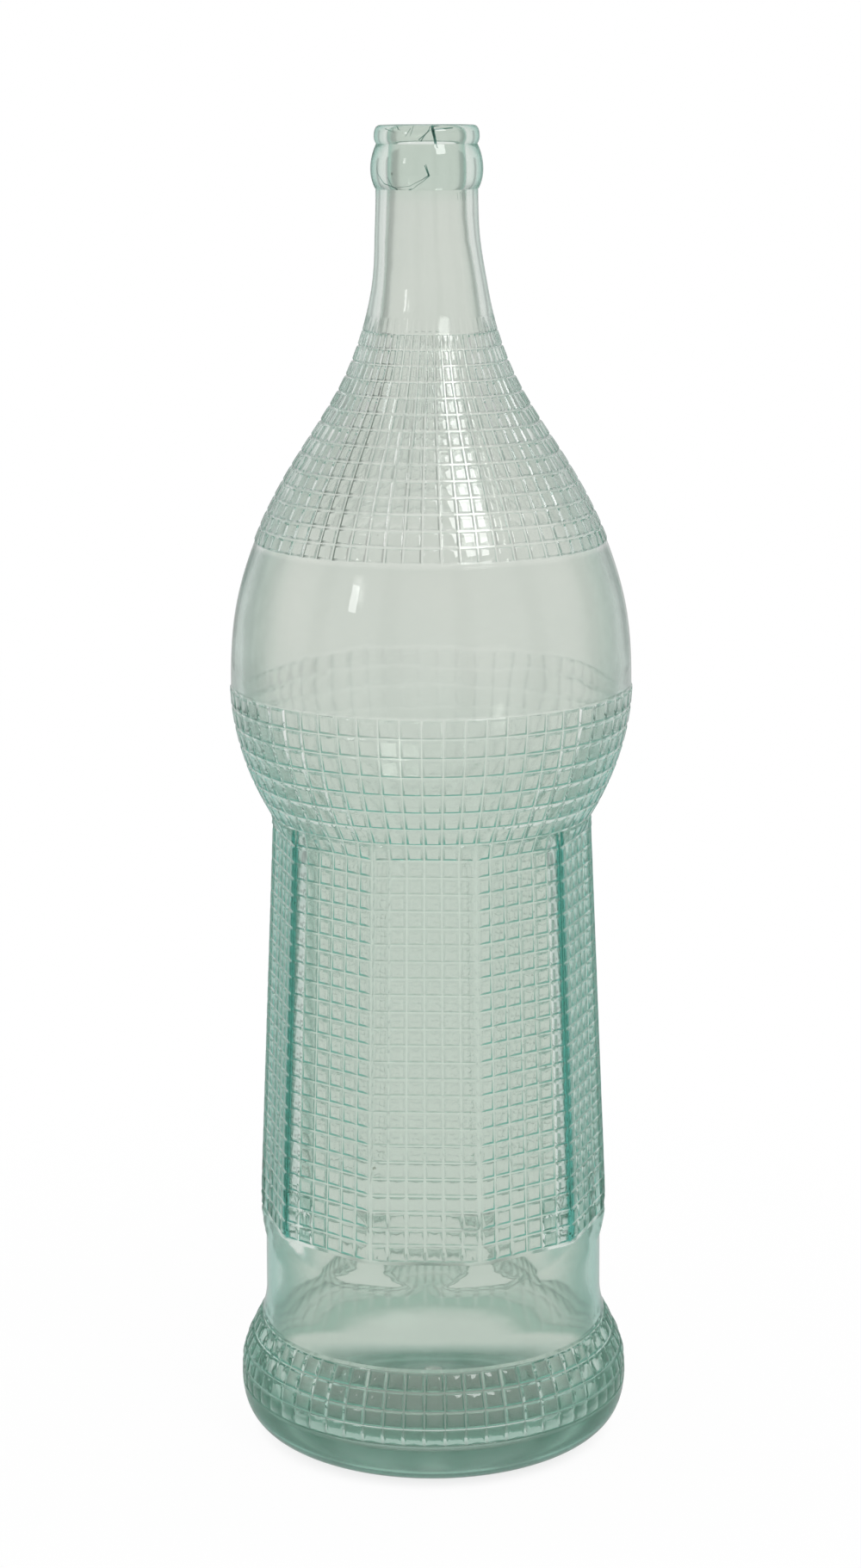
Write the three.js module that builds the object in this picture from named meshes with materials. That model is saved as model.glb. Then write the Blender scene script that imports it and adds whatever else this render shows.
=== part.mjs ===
// A moulded glass display bottle, blown in one piece. A crown finish tops a long neck that swells
// into a round bulb. Under it stand a ten-sided column, whose corners run out above a plain waist,
// and a foot that flares out from a fillet. The cavity is smooth and round, and open at the mouth.
// Millimetres, +Z up. The origin is on the table under the axis, and one flat faces -Y.

import * as THREE from 'three';

// Foot
const BEARING_INNER_RADIUS = 29;
const BEARING_OUTER_RADIUS = 35.2;
const PUSH_UP_HEIGHT = 5;            // the domed hollow underneath, at the axis
const FOOT_RADIUS = 50;              // the widest line of the foot
const FOOT_LINE_HEIGHT = 14.3;       // table to the widest line
const HEEL_PULL_OUT = 11;            // how far the heel curve runs on along the table
const HEEL_PULL_DOWN = 9.3;          // how far the heel curve runs on down the side
const FLARE_HEIGHT = 16.5;           // widest line of the foot to where its lean would meet the waist
const FLARE_LEAN = 33;               // degrees from upright, between foot and fillet
const FILLET_LENGTH = 6.5;           // how far the fillet runs each way from where they would meet

// Waist
const WAIST_RADIUS = 43.4;
const WAIST_HEIGHT = 19.7;

// Ten-sided column
const FLATS = 10;
const COLUMN_HEIGHT = 111.5;         // waist to bulb
const COLUMN_LOW_CORNER_RADIUS = 45.1;   // axis to a corner, where the corners are full
const COLUMN_TOP_CORNER_RADIUS = 41.1;
const CORNER_RUN_OUT = 11.5;         // height over which the corners round down to the waist

// Bulb
const BULB_HEIGHT = 33.4;            // column to the proud edge of the bulb
const BULB_RADIUS = 51.5;            // where the arc of its side is widest
const BULB_CENTRE_RISE = 2.9;        // centre of that arc above the proud edge
const BULB_EDGE_STEP = 0.35;         // how far the bulb stands proud of the shoulder
const BULB_EDGE_HEIGHT = 0.6;

// Shoulder and neck
const SHOULDER_HEIGHT = 55.7;        // bulb to the steepest point of the shoulder
const SHOULDER_RADIUS = 35.15;       // at the steepest point
const SHOULDER_LEAN = 31.8;          // degrees from upright at the steepest point
const SHOULDER_PULL_UP = 15;         // how far the shoulder stays upright above the bulb
const SHOULDER_PULL_BELOW = 27.6;    // how far the lean holds below the steepest point
const SHOULDER_PULL_ABOVE = 20.4;    // how far the lean holds above it
const NECK_HEIGHT = 69.3;            // steepest point to the finish
const NECK_RADIUS = 12.9;            // under the finish
const NECK_PULL = 41;                // how far the neck stays upright below the finish

// Crown finish
const RING_STEP = 0.2;               // sharp lower edge of the reinforcing ring
const RING_LINE_HEIGHT = 5;          // finish edge to the ring's widest line
const RING_RADIUS = 14.2;
const GROOVE_HEIGHT = 6.3;           // ring's widest line to the groove under the bead
const GROOVE_RADIUS = 12.75;
const BEAD_LINE_HEIGHT = 1.8;        // groove to the bead's widest line
const BEAD_RADIUS = 13.3;
const LIP_HEIGHT = 2.9;              // bead's widest line to the sealing face
const LIP_FACE_RADIUS = 11.6;        // outer edge of the flat sealing face
const MOUTH_ROUND = 0.6;             // rounding of the bore's edge at the mouth
const BORE_RADIUS = 10;

// Glass
const BODY_WALL = 3.4;               // on the flats, the bulb and the shoulder
const FLOOR_THICKNESS = 9;           // over the push-up, at the axis
const FLOOR_DOME = 3;                // rise of the inside floor from its edge to the axis
const FLOOR_CORNER = 13;             // rounding between the inside floor and the wall

// Facets
const COLUMNS_PER_FLAT = 6;
const COLUMNS = FLATS * COLUMNS_PER_FLAT;
const CAVITY_COLUMNS = 30;
const LONG_CURVE_STEPS = 9;
const CURVE_STEPS = 5;
const SHORT_CURVE_STEPS = 3;

// Heights of the lines that the sections share
const WAIST_BASE = FOOT_LINE_HEIGHT + FLARE_HEIGHT;
const WAIST_TOP = WAIST_BASE + WAIST_HEIGHT;
const CORNERS_FULL = WAIST_TOP + CORNER_RUN_OUT;
const COLUMN_TOP = WAIST_TOP + COLUMN_HEIGHT;
const BULB_EDGE = COLUMN_TOP + BULB_HEIGHT;
const BULB_CENTRE = BULB_EDGE + BULB_CENTRE_RISE;
const SHOULDER_BASE = BULB_EDGE + BULB_EDGE_HEIGHT;
const SHOULDER_STEEPEST = SHOULDER_BASE + SHOULDER_HEIGHT;
const FINISH_BASE = SHOULDER_STEEPEST + NECK_HEIGHT;
const RING_LINE = FINISH_BASE + RING_LINE_HEIGHT;
const GROOVE_LINE = RING_LINE + GROOVE_HEIGHT;
const BEAD_LINE = GROOVE_LINE + BEAD_LINE_HEIGHT;
const LIP_TOP = BEAD_LINE + LIP_HEIGHT;
const FLOOR_TOP = PUSH_UP_HEIGHT + FLOOR_THICKNESS;

const point = (radius, height) => new THREE.Vector2(radius, height);
const FLAT_ANGLE = 2 * Math.PI / FLATS;
const FLAT_RATIO = Math.cos(FLAT_ANGLE / 2);   // middle of a flat against its corners
const FRONT = -Math.PI / 2;

function cornerRadius(height) {
  const share = (height - CORNERS_FULL) / (COLUMN_TOP - CORNERS_FULL);
  return THREE.MathUtils.lerp(COLUMN_LOW_CORNER_RADIUS, COLUMN_TOP_CORNER_RADIUS, share);
}

function columnRadius(angle, height) {
  const fromCorner = THREE.MathUtils.euclideanModulo(angle - FRONT - FLAT_ANGLE / 2, FLAT_ANGLE);
  return cornerRadius(height) * FLAT_RATIO / Math.cos(fromCorner - FLAT_ANGLE / 2);
}

// The bulb's side is an arc that lands on the corners of the column's top
const bulbSwell = BULB_RADIUS - COLUMN_TOP_CORNER_RADIUS;
const bulbSideRadius = ((BULB_CENTRE - COLUMN_TOP) ** 2 + bulbSwell ** 2) / (2 * bulbSwell);
const bulbArcAxis = BULB_RADIUS - bulbSideRadius;

function bulbRadius(height) {
  return bulbArcAxis + Math.sqrt(bulbSideRadius ** 2 - (BULB_CENTRE - height) ** 2);
}

function bulbHeight(radius) {
  return BULB_CENTRE - Math.sqrt(bulbSideRadius ** 2 - (radius - bulbArcAxis) ** 2);
}

// The turned outline of each section, from the table up
const heel = new THREE.CubicBezierCurve(
  point(BEARING_OUTER_RADIUS, 0),
  point(BEARING_OUTER_RADIUS + HEEL_PULL_OUT, 0),
  point(FOOT_RADIUS, FOOT_LINE_HEIGHT - HEEL_PULL_DOWN),
  point(FOOT_RADIUS, FOOT_LINE_HEIGHT),
);

const tilted = (degrees) => point(0, 1).rotateAround(point(0, 0), degrees * THREE.MathUtils.DEG2RAD);
const waistCorner = point(WAIST_RADIUS, WAIST_BASE);
const flareDrop = (FOOT_RADIUS - WAIST_RADIUS) / Math.tan(FLARE_LEAN * THREE.MathUtils.DEG2RAD);
const flareEnd = waistCorner.clone().addScaledVector(tilted(FLARE_LEAN), -FILLET_LENGTH);

const flare = new THREE.QuadraticBezierCurve(
  point(FOOT_RADIUS, FOOT_LINE_HEIGHT),
  point(FOOT_RADIUS, WAIST_BASE - flareDrop),
  flareEnd,
);

const fillet = new THREE.QuadraticBezierCurve(
  flareEnd,
  waistCorner,
  point(WAIST_RADIUS, WAIST_BASE + FILLET_LENGTH),
);

// Rounds the column's corners down to the waist, where the flats are already inside it
const cornerRunOut = new THREE.QuadraticBezierCurve(
  point(WAIST_RADIUS, WAIST_TOP),
  point(COLUMN_LOW_CORNER_RADIUS, (WAIST_TOP + CORNERS_FULL) / 2),
  point(COLUMN_LOW_CORNER_RADIUS, CORNERS_FULL),
);

const steepest = point(SHOULDER_RADIUS, SHOULDER_STEEPEST);
const lean = tilted(SHOULDER_LEAN);
const shoulderBaseRadius = bulbRadius(BULB_EDGE) - BULB_EDGE_STEP;

const shoulder = new THREE.CubicBezierCurve(
  point(shoulderBaseRadius, SHOULDER_BASE),
  point(shoulderBaseRadius, SHOULDER_BASE + SHOULDER_PULL_UP),
  steepest.clone().addScaledVector(lean, -SHOULDER_PULL_BELOW),
  steepest,
);

const neck = new THREE.CubicBezierCurve(
  steepest,
  steepest.clone().addScaledVector(lean, SHOULDER_PULL_ABOVE),
  point(NECK_RADIUS, FINISH_BASE - NECK_PULL),
  point(NECK_RADIUS, FINISH_BASE),
);

const finish = [
  new THREE.QuadraticBezierCurve(
    point(NECK_RADIUS + RING_STEP, FINISH_BASE + RING_STEP),
    point(RING_RADIUS, (FINISH_BASE + RING_LINE) / 2),
    point(RING_RADIUS, RING_LINE),
  ),
  new THREE.QuadraticBezierCurve(
    point(RING_RADIUS, RING_LINE),
    point(RING_RADIUS, (RING_LINE + GROOVE_LINE) / 2),
    point(GROOVE_RADIUS, GROOVE_LINE),
  ),
  new THREE.QuadraticBezierCurve(
    point(GROOVE_RADIUS, GROOVE_LINE),
    point(BEAD_RADIUS, (GROOVE_LINE + BEAD_LINE) / 2),
    point(BEAD_RADIUS, BEAD_LINE),
  ),
  new THREE.QuadraticBezierCurve(
    point(BEAD_RADIUS, BEAD_LINE),
    point(BEAD_RADIUS, LIP_TOP),
    point(LIP_FACE_RADIUS, LIP_TOP),
  ),
];

// A ring of the skin: a height, a radius for each angle, and how many columns it has
const round = ({ x, y }, columns = COLUMNS) => ({ height: y, columns, radius: () => x });
const turned = (curve, steps) => curve.getPoints(steps).map((at) => round(at));

function spread(low, high, steps) {
  return Array.from({ length: steps + 1 }, (_, step) => THREE.MathUtils.lerp(low, high, step / steps));
}

function columnRings() {
  const runOut = cornerRunOut.getPoints(CURVE_STEPS).map(({ x, y }) => ({
    height: y,
    columns: COLUMNS,
    radius: (angle) => Math.min(x, columnRadius(angle, y)),
  }));
  const underBulb = bulbHeight(COLUMN_TOP_CORNER_RADIUS * FLAT_RATIO);
  const meetsBulb = spread(underBulb, COLUMN_TOP, SHORT_CURVE_STEPS).map((height) => ({
    height,
    columns: COLUMNS,
    radius: (angle) => Math.max(bulbRadius(height), columnRadius(angle, height)),
  }));
  return [...runOut, ...meetsBulb];
}

function bulbRings() {
  const heights = spread(COLUMN_TOP, BULB_EDGE, CURVE_STEPS).slice(1);
  return heights.map((height) => round(point(bulbRadius(height), height)));
}

function outsideRings() {
  return [
    round(point(BEARING_INNER_RADIUS, 0)),
    ...turned(heel, CURVE_STEPS),
    ...turned(flare, CURVE_STEPS).slice(1),
    ...turned(fillet, CURVE_STEPS).slice(1),
    ...columnRings(),
    ...bulbRings(),
    ...turned(shoulder, LONG_CURVE_STEPS),
    ...turned(neck, LONG_CURVE_STEPS).slice(1),
    ...finish.flatMap((curve) => turned(curve, SHORT_CURVE_STEPS).slice(0, -1)),
    round(point(LIP_FACE_RADIUS, LIP_TOP)),
  ];
}

// The wall is even over the body and goes over to the bore's wall along the neck
function wallAt(height) {
  const share = THREE.MathUtils.smoothstep(height, SHOULDER_STEEPEST, FINISH_BASE);
  return THREE.MathUtils.lerp(BODY_WALL, NECK_RADIUS - BORE_RADIUS, share);
}

function cavityPoints() {
  const floorEdge = FLOOR_TOP - FLOOR_DOME;
  const wallRadius = WAIST_RADIUS - BODY_WALL;
  const floorRadius = wallRadius - FLOOR_CORNER;
  const floor = new THREE.QuadraticBezierCurve(
    point(0, FLOOR_TOP),
    point(floorRadius / 2, FLOOR_TOP),
    point(floorRadius, floorEdge),
  );
  const corner = new THREE.QuadraticBezierCurve(
    point(floorRadius, floorEdge),
    point(wallRadius, floorEdge),
    point(wallRadius, floorEdge + FLOOR_CORNER),
  );
  const column = spread(CORNERS_FULL, COLUMN_TOP, SHORT_CURVE_STEPS).map((height) => (
    point(cornerRadius(height) * FLAT_RATIO - BODY_WALL, height)
  ));
  const bulb = spread(COLUMN_TOP, BULB_EDGE, SHORT_CURVE_STEPS).slice(1).map((height) => (
    point(bulbRadius(height) - BODY_WALL, height)
  ));
  const upper = [shoulder, neck].flatMap((curve) => curve.getPoints(CURVE_STEPS).slice(1));
  return [
    ...floor.getPoints(SHORT_CURVE_STEPS).slice(1),
    ...corner.getPoints(CURVE_STEPS).slice(1),
    ...column,
    ...bulb,
    ...upper.map(({ x, y }) => point(x - wallAt(y), y)),
    point(BORE_RADIUS, LIP_TOP - MOUTH_ROUND),
    point(BORE_RADIUS + MOUTH_ROUND, LIP_TOP),
  ];
}

// Joins rings in order, from a point on the axis to a point on the axis, into one closed skin
function skin(startHeight, rings, endHeight) {
  const positions = [];
  const triangles = [];
  const addVertex = (x, y, z) => positions.push(x, y, z) / 3 - 1;

  const start = addVertex(0, 0, startHeight);
  const rows = rings.map(({ height, columns, radius }) => (
    Array.from({ length: columns }, (_, column) => {
      const angle = FRONT + column * 2 * Math.PI / columns;
      return addVertex(radius(angle) * Math.cos(angle), radius(angle) * Math.sin(angle), height);
    })
  ));
  const end = addVertex(0, 0, endHeight);

  const at = (row, column) => row[column % row.length];
  const first = rows[0];
  const last = rows[rows.length - 1];
  first.forEach((_, column) => triangles.push(start, at(first, column + 1), at(first, column)));
  for (let index = 1; index < rows.length; index += 1) {
    const [below, above] = [rows[index - 1], rows[index]];
    let low = 0;
    let high = 0;
    while (low < below.length || high < above.length) {
      if ((low + 1) / below.length <= (high + 1) / above.length) {
        triangles.push(at(below, low), at(below, low + 1), at(above, high));
        low += 1;
      } else {
        triangles.push(at(below, low), at(above, high + 1), at(above, high));
        high += 1;
      }
    }
  }
  last.forEach((_, column) => triangles.push(at(last, column), at(last, column + 1), end));

  const geometry = new THREE.BufferGeometry();
  geometry.setAttribute('position', new THREE.Float32BufferAttribute(positions, 3));
  geometry.setIndex(triangles);
  geometry.computeVertexNormals();
  return geometry;
}

function bottleGeometry() {
  const cavity = cavityPoints().reverse().map((at) => round(at, CAVITY_COLUMNS));
  return skin(PUSH_UP_HEIGHT, [...outsideRings(), ...cavity], FLOOR_TOP);
}

const glass = new THREE.MeshStandardMaterial({
  name: 'pale_aqua_glass',
  color: 0xbdd3c6,
  roughness: 0.06,
  metalness: 0,
  transparent: true,
  opacity: 0.45,
});

const bottle = new THREE.Mesh(bottleGeometry(), glass);
bottle.name = 'glass_bottle';

const displayBottle = new THREE.Group();
displayBottle.name = 'display_bottle';
displayBottle.add(bottle);

export default displayBottle;
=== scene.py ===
"""Looks of a moulded glass display bottle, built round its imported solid.

The bottle is one piece of pale aqua glass. Its skin is turned from an outline, its column is pressed
into ten flats, and a waffle of raised pads is let into the neck, the bulb, the column and the foot.
Its sizes are in millimetres until a point goes into a mesh, which is in metres, +Z up, front to -Y.
"""

from __future__ import annotations

import logging
import math
from bisect import bisect_left
from collections.abc import Callable
from dataclasses import dataclass, field
from enum import Enum

import bmesh
import bpy
from mathutils import Euler, Matrix, Vector, noise
from mathutils.geometry import interpolate_bezier


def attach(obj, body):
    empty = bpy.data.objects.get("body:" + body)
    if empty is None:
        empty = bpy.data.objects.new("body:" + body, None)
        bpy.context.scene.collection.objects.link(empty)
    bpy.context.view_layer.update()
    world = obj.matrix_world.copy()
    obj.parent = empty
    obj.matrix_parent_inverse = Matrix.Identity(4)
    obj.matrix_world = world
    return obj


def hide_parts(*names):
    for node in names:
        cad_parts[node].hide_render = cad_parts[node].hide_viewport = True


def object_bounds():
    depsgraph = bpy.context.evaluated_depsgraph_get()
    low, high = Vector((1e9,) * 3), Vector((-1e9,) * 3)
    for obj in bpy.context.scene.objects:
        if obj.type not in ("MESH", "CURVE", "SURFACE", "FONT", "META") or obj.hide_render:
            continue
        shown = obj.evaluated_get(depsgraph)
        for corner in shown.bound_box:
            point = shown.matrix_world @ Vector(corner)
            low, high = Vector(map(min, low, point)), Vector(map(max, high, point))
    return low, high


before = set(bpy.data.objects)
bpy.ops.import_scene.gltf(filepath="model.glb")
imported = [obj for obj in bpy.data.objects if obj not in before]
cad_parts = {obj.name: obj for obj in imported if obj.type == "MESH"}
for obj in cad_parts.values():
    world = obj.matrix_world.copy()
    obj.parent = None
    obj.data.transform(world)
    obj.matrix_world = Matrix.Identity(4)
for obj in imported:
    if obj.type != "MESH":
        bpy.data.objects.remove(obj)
CAD_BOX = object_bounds()

LOG = logging.getLogger("display_bottle")
MM = 0.001
FULL_TURN = 2 * math.pi
MERGE_GAP = 0.001
LOOKUP_STEPS = 200
BENT_PULL = 2 / 3
ROW_DIGITS = 2
MOTTLE_ENDS = (0.3, 0.7)
HAIRLINE_ENDS = (0.5, 1.0)
GLASS_BOUNCES = 48

Pair = tuple[float, float]
Colour = tuple[float, float, float]
Socket = bpy.types.NodeSocket
Source = Socket | float | tuple[float, ...]
Setting = str | bool | bpy.types.NodeTree
Skin = bmesh.types.BMesh


def smooth_share(value: float, low: float, high: float) -> float:
    """Eases from 0 at low to 1 at high.

    Args:
        value: Where to read the ease.
        low: Value at and before which it is 0.
        high: Value at and past which it is 1.

    Returns:
        The eased share.
    """
    share = min(1.0, max(0.0, (value - low) / (high - low)))
    return share * share * (3 - 2 * share)


def mix(first: float, second: float, share: float) -> float:
    """Goes from first to second by share."""
    return first + (second - first) * share


def spread(low: float, high: float, steps: int) -> list[float]:
    """Spaces steps + 1 values evenly from low to high."""
    return [mix(low, high, step / steps) for step in range(steps + 1)]


def turned(radius_at: Callable[[float], float], heights: list[float]) -> list[Vector]:
    """Pairs each height with the radius there, as points of a turned outline."""
    return [Vector((radius_at(height), height)) for height in heights]


@dataclass(frozen=True)
class Stretch:
    """One curved stretch of a turned outline, in radius and height."""

    start: Pair
    start_pull: Pair
    end_pull: Pair
    end: Pair

    @classmethod
    def bent(cls, start: Pair, corner: Pair, end: Pair) -> Stretch:
        """Makes a stretch that turns once, towards a corner.

        Args:
            start: First point.
            corner: Where the two end tangents meet.
            end: Last point.

        Returns:
            The stretch.
        """
        pulls = [Vector(at).lerp(Vector(corner), BENT_PULL) for at in (start, end)]
        return cls(start, tuple(pulls[0]), tuple(pulls[1]), end)

    def points(self, steps: int) -> list[Vector]:
        """Samples the stretch at steps + 1 points, both ends included."""
        knots = (self.start, self.start_pull, self.end_pull, self.end)
        return interpolate_bezier(*[Vector(knot) for knot in knots], steps + 1)


class Side:
    """The side of a turned form, sampled finely enough to read its radius at any height."""

    def __init__(self, *stretches: Stretch) -> None:
        """Samples the side.

        Args:
            stretches: What it is made of, one above the other.
        """
        points = [at for stretch in stretches for at in stretch.points(LOOKUP_STEPS)]
        self.heights = [at.y for at in points]
        self.radii = [at.x for at in points]

    def at(self, height: float) -> float:
        """Gives the radius at a height.

        Args:
            height: Height in millimetres.

        Returns:
            The radius, held level past the ends.
        """
        above = min(max(bisect_left(self.heights, height), 1), len(self.heights) - 1)
        low, high = self.heights[above - 1], self.heights[above]
        share = (height - low) / (high - low) if high > low else 1.0
        return mix(self.radii[above - 1], self.radii[above], min(1.0, max(0.0, share)))


@dataclass(frozen=True)
class BottleSizes:
    """Driving sizes of the bottle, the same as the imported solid's, in millimetres and degrees."""

    bearing_inner_radius: float = 29
    bearing_outer_radius: float = 35.2
    push_up_height: float = 5
    push_up_round: float = 1
    foot_radius: float = 50
    foot_line: float = 14.3
    heel_pull_out: float = 11
    heel_pull_down: float = 9.3
    flare_lean: float = 33
    fillet_length: float = 6.5
    waist_radius: float = 43.4
    waist_base: float = 30.8
    waist_top: float = 50.5
    flats: int = 10
    low_corner_radius: float = 45.1
    top_corner_radius: float = 41.1
    corners_full: float = 62
    column_top: float = 162
    bulb_radius: float = 51.5
    bulb_edge: float = 195.4
    bulb_centre: float = 198.3
    bulb_edge_step: float = 0.35
    bulb_edge_height: float = 0.6
    shoulder_radius: float = 35.15
    shoulder_steepest: float = 251.7
    shoulder_lean: float = 31.8
    shoulder_pull_up: float = 15
    shoulder_pull_below: float = 27.6
    shoulder_pull_above: float = 20.4
    neck_radius: float = 12.9
    neck_pull: float = 41
    finish_base: float = 321
    ring_step: float = 0.2
    ring_line: float = 326
    ring_radius: float = 14.2
    groove_line: float = 332.3
    groove_radius: float = 12.75
    bead_line: float = 334.1
    bead_radius: float = 13.3
    lip_top: float = 337
    lip_face_radius: float = 11.6
    mouth_round: float = 0.6
    bore_radius: float = 10
    body_wall: float = 3.4
    shoulder_wall: float = 2.6
    foot_wall: float = 5
    bowl_start: float = 15
    bowl_inner_radius: float = 28
    floor_edge: float = 7.5
    floor_top: float = 11

    @property
    def flat_angle(self) -> float:
        """Angle that one flat of the column takes up."""
        return FULL_TURN / self.flats

    @property
    def flat_ratio(self) -> float:
        """Middle of a flat against its corners, from the axis."""
        return math.cos(self.flat_angle / 2)

    @property
    def fillet_top(self) -> float:
        """Height at which the fillet over the foot lands on the waist."""
        return self.waist_base + self.fillet_length

    @property
    def shoulder_base(self) -> float:
        """Height at which the shoulder leaves the proud edge of the bulb."""
        return self.bulb_edge + self.bulb_edge_height

    @property
    def bulb_side_radius(self) -> float:
        """Radius of the bulb's side in section, an arc that lands on the column's top corners."""
        swell = self.bulb_radius - self.top_corner_radius
        return ((self.bulb_centre - self.column_top) ** 2 + swell**2) / (2 * swell)

    def bulb_at(self, height: float) -> float:
        """Gives the bulb's radius at a height."""
        below = min(abs(self.bulb_centre - height), self.bulb_side_radius)
        return self.bulb_radius - self.bulb_side_radius + math.sqrt(self.bulb_side_radius**2 - below**2)

    def corner_at(self, height: float) -> float:
        """Gives the column's radius to a corner at a height."""
        share = (height - self.corners_full) / (self.column_top - self.corners_full)
        return mix(self.low_corner_radius, self.top_corner_radius, share)

    def wall_at(self, height: float) -> float:
        """Gives the glass's thickness, thinnest round the shoulder and thick at the bore.

        Args:
            height: Height on the bulb, the shoulder or the neck.

        Returns:
            The thickness.
        """
        thinning = smooth_share(height, self.column_top, self.bulb_edge)
        thickening = smooth_share(height, self.shoulder_steepest, self.finish_base)
        thinned = mix(self.body_wall, self.shoulder_wall, thinning)
        return mix(thinned, self.neck_radius - self.bore_radius, thickening)


class Zone(Enum):
    """The four patterned zones of the skin."""

    FOOT = "foot"
    COLUMN = "column"
    BULB = "bulb"
    NECK = "neck"


@dataclass(frozen=True)
class Waffle:
    """A band of raised pads between grooves, let into the skin.

    Its marks say how much painted shade the pads' edges take, all of them, along the rows and in the dark
    stretch, a painted dark streak. Its imprint is how far the grooves show on the cavity's wall. Its fades
    are where they run out to an edge.
    """

    zone: Zone
    low: float
    high: float
    rows: int
    groove_floor: float
    groove_side: float
    groove_depth: float
    crown: float
    mark: float = 1.0
    row_mark: float = 1.0
    stroke: float = 0
    bevel: float = 0.16
    bevel_rise: float = 0.03
    imprint: float = 0.05
    fade_low: float = 0
    fade_high: float = 0

    def lines(self) -> list[float]:
        """Gives the heights of the grooves between the rows."""
        return spread(self.low, self.high, self.rows)

    def share_at(self, height: float) -> float:
        """Gives how much of the grooves' depth is left at a height, where they may run out to an edge.

        Args:
            height: Height on the skin.

        Returns:
            The share, from 0 to 1.
        """
        share = 1.0
        if self.fade_low:
            share *= smooth_share(height, self.low, self.low + self.fade_low)
        if self.fade_high:
            share *= 1 - smooth_share(height, self.high - self.fade_high, self.high)
        return share

    def holds(self, height: float) -> bool:
        """Tells whether a height lies inside the band."""
        return self.low < height < self.high


@dataclass
class Outline:
    """The turned outlines of the bottle's outer skin and of its cavity."""

    sizes: BottleSizes
    waffles: dict[Zone, Waffle]
    plain_recess: float = 0.3
    recess_height: float = 20
    long_steps: int = 24
    steps: int = 10
    short_steps: int = 5
    cavity_rows: int = 2

    def __post_init__(self) -> None:
        """Samples the foot, the run-out above the waist, the shoulder and the neck."""
        s = self.sizes
        base_radius = s.bulb_at(s.bulb_edge) - s.bulb_edge_step
        steepest = Vector((s.shoulder_radius, s.shoulder_steepest))
        shoulder_lean = math.radians(s.shoulder_lean)
        lean = Vector((-math.sin(shoulder_lean), math.cos(shoulder_lean)))
        shoulder = Stretch(
            (base_radius, s.shoulder_base),
            (base_radius, s.shoulder_base + s.shoulder_pull_up),
            tuple(steepest - lean * s.shoulder_pull_below),
            tuple(steepest),
        )
        neck = Stretch(
            tuple(steepest),
            tuple(steepest + lean * s.shoulder_pull_above),
            (s.neck_radius, s.finish_base - s.neck_pull),
            (s.neck_radius, s.finish_base),
        )
        self.heel = Stretch(
            (s.bearing_outer_radius, 0),
            (s.bearing_outer_radius + s.heel_pull_out, 0),
            (s.foot_radius, s.foot_line - s.heel_pull_down),
            (s.foot_radius, s.foot_line),
        )
        flare_lean = math.radians(s.flare_lean)
        waist_corner = Vector((s.waist_radius, s.waist_base))
        flare_end = waist_corner + s.fillet_length * Vector((math.sin(flare_lean), -math.cos(flare_lean)))
        flare_drop = (s.foot_radius - s.waist_radius) / math.tan(flare_lean)
        flare = Stretch.bent(
            (s.foot_radius, s.foot_line), (s.foot_radius, s.waist_base - flare_drop), tuple(flare_end)
        )
        fillet = Stretch.bent(tuple(flare_end), tuple(waist_corner), (s.waist_radius, s.fillet_top))
        run_out = Stretch.bent(
            (s.waist_radius, s.waist_top),
            (s.low_corner_radius, (s.waist_top + s.corners_full) / 2),
            (s.low_corner_radius, s.corners_full),
        )
        self.foot_side = Side(self.heel, flare, fillet)
        self.run_out = Side(run_out)
        self.upper_side = Side(shoulder, neck)

    def bulb_lines(self, steps: int) -> list[float]:
        """Spaces the bulb's rows evenly along its arc.

        Args:
            steps: How many rows to make.

        Returns:
            The heights between the rows.
        """
        s = self.sizes
        ends = (self.waffles[Zone.BULB].low, self.waffles[Zone.BULB].high)
        turns = [math.asin((height - s.bulb_centre) / s.bulb_side_radius) for height in ends]
        return [s.bulb_centre + s.bulb_side_radius * math.sin(turn) for turn in spread(*turns, steps)]

    def foot(self) -> list[Vector]:
        """Runs from the axis under the push-up to the top of the foot's pads.

        Returns:
            The points, in their order along the outline.
        """
        s = self.sizes
        waffle = self.waffles[Zone.FOOT]
        push_up = Stretch(
            (0, s.push_up_height),
            (s.bearing_inner_radius / 2, s.push_up_height),
            (s.bearing_inner_radius - 2 * s.push_up_round, s.push_up_round),
            (s.bearing_inner_radius, 0),
        )
        smooth = [at for at in self.heel.points(self.long_steps) if at.y < waffle.low - MERGE_GAP]
        return push_up.points(self.steps) + smooth + turned(self.foot_side.at, waffle.lines())

    def body(self) -> list[Vector]:
        """Runs from above the foot's pads to the proud edge of the bulb.

        Returns:
            The points, in their order along the outline.
        """
        s = self.sizes
        column, bulb = self.waffles[Zone.COLUMN], self.waffles[Zone.BULB]
        flare = spread(self.waffles[Zone.FOOT].high, s.fillet_top, self.steps)[1:]
        waist = spread(s.fillet_top, s.waist_top, self.short_steps)[1:-1]
        run_out = spread(s.waist_top, column.low, self.steps)[:-1]
        points = turned(self.foot_side.at, flare)
        points += [Vector((s.waist_radius, height)) for height in waist]
        points += turned(self.run_out.at, run_out)
        points += turned(s.corner_at, column.lines())
        return points + turned(s.bulb_at, self.bulb_lines(bulb.rows)[1:])

    def upper(self) -> list[Vector]:
        """Runs from the proud edge of the bulb, over the plain band and the neck, to the finish.

        Returns:
            The points, in their order along the outline.
        """
        s = self.sizes
        waffle = self.waffles[Zone.NECK]
        points = []
        for height in spread(s.shoulder_base, waffle.low, self.long_steps)[:-1]:
            recess = self.plain_recess * smooth_share(height, waffle.low - self.recess_height, waffle.low)
            points.append(Vector((self.upper_side.at(height) - recess, height)))
        smooth = spread(waffle.high, s.finish_base, self.steps)[1:]
        return points + turned(self.upper_side.at, waffle.lines() + smooth)

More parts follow.
